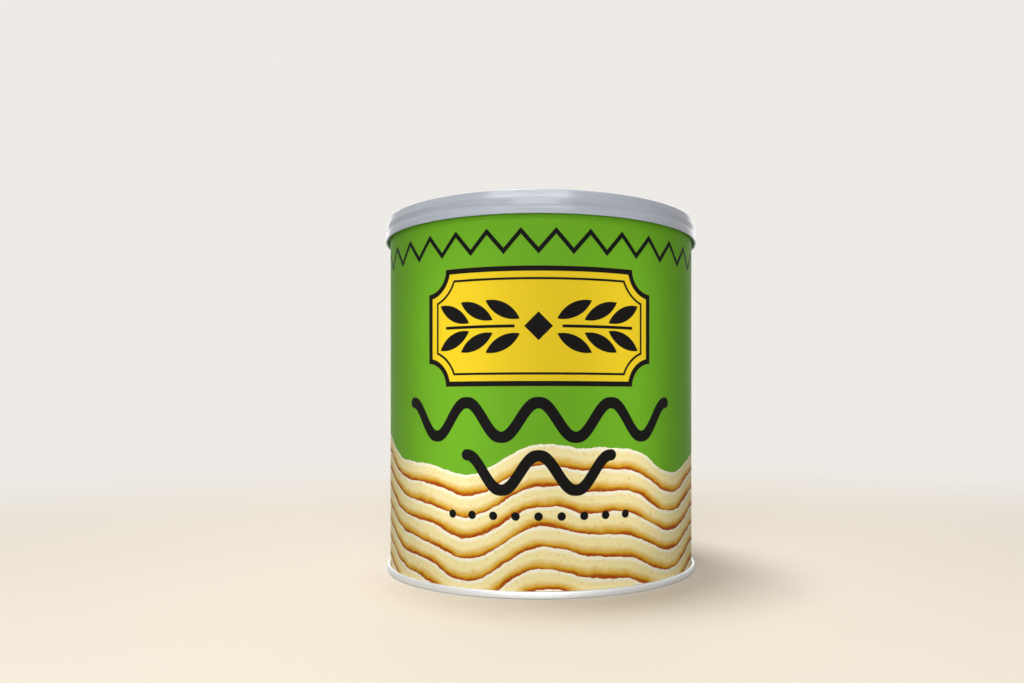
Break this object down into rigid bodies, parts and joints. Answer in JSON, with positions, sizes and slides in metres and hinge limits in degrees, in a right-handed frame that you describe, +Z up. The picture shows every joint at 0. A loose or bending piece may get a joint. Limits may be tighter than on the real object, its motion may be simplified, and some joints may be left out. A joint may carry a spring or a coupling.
{
  "type": "crisp tube",
  "caption": "Short round paperboard can for stacked crisps, with a seamed metal bottom end, a peel-off foil seal and a push-on plastic overcap.",
  "frame": {"origin": "centre of the can's axis at the surface it stands on", "axes": "+Z up along the can's axis; the middle of the printed front faces -Y; +X to the right seen from the front"},
  "size_m": [0.0772, 0.0772, 0.0847],
  "materials": {
    "printed_board": "spiral-wound paperboard under a printed paper label with a satin lacquer, green with yellow, black and cream print",
    "tinplate": "bright tin-plated steel with a pale clear lacquer, pressed and seamed",
    "foil": "satin aluminium foil laminate, heat-sealed, faintly crinkled",
    "cap_plastic": "soft natural polyethylene, milky and slightly see-through, with faint moulding lines"
  },
  "bodies": {
    "can": {"base_end": "tinplate", "tube_body": "printed_board", "peel_seal": "foil"},
    "lid": {"overcap": "cap_plastic"}
  },
  "joints": [
    {"name": "lid_lift", "type": "slide", "parent": "can", "child": "lid", "axis": [0, 0, 1], "range_m": [0, 0.03]}
  ]
}
